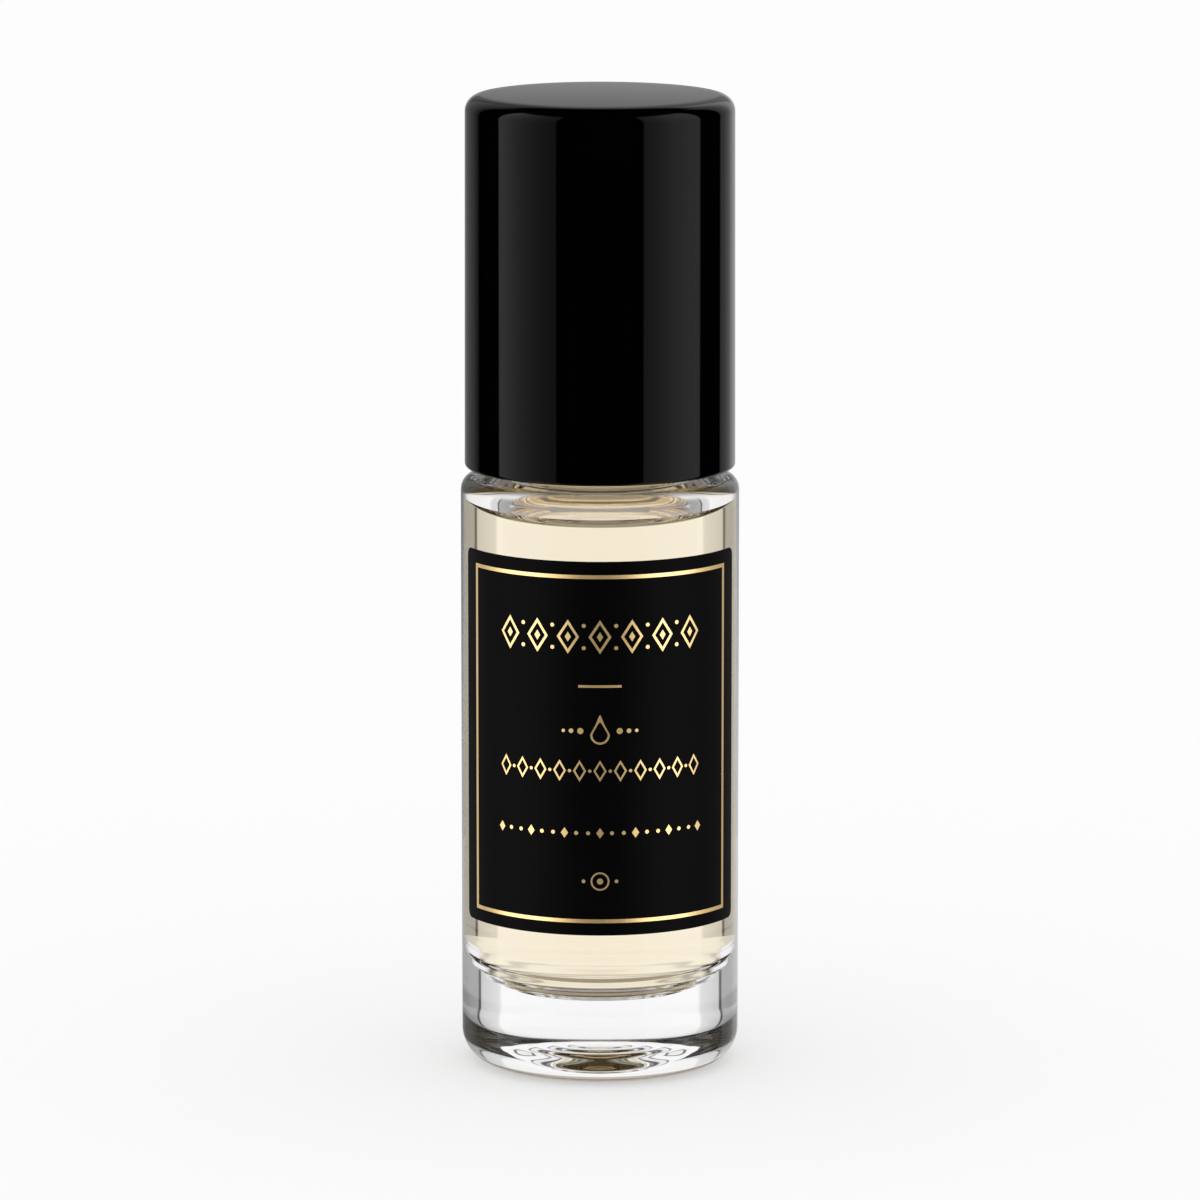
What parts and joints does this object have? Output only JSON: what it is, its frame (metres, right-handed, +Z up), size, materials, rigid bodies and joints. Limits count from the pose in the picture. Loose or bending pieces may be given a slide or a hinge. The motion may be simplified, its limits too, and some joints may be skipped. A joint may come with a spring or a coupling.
{
  "type": "roll-on perfume oil bottle",
  "caption": "Thick-walled clear glass roll-on bottle of pale perfume oil, with a black front label and a tall gloss black screw cap over its roller ball.",
  "frame": {"origin": "centre of the circle that the bottle stands on, at the foot of the glass", "axes": "+Z up along the bottle's axis, the label faces -Y, +X is to the right of a viewer who faces the label"},
  "size_m": [0.018, 0.0182, 0.0632],
  "materials": {
    "clear_glass": "clear, polished",
    "pale_oil": "clear liquid",
    "black_film": "satin film with gold foil print",
    "gold_foil": "bright foil, hot stamped on the label",
    "natural_plastic": "translucent, moulded",
    "polished_steel": "polished",
    "seal_foam": "soft, fine-celled",
    "white_plastic": "moulded",
    "gloss_black": "high gloss"
  },
  "bodies": {
    "bottle": {"glass_bottle": "clear_glass", "perfume_oil": "pale_oil", "front_label": "black_film", "roller_housing": "natural_plastic"},
    "ball": {"roller_ball": "polished_steel"},
    "cap_seal": {"cap_seal_disc": "seal_foam"},
    "cap": {"cap_shell": "gloss_black", "cap_liner": "white_plastic"}
  },
  "joints": [
    {"name": "ball_roll", "type": "hinge", "parent": "bottle", "child": "ball", "pos_m": [0, 0, 0.05156], "axis": [1, 0, 0], "continuous": true},
    {"name": "cap_lift", "type": "slide", "parent": "bottle", "child": "cap_seal", "axis": [0, 0, 1], "range_m": [0, 0.01785]},
    {"name": "cap_turn", "type": "hinge", "parent": "cap_seal", "child": "cap", "pos_m": [0, 0, 0.03917], "axis": [0, 0, 1], "range_deg": [0, 3061]}
  ],
  "couplings": [
    {"joint": "cap_turn", "follows": "cap_lift", "rad_per_m": 2992}
  ]
}
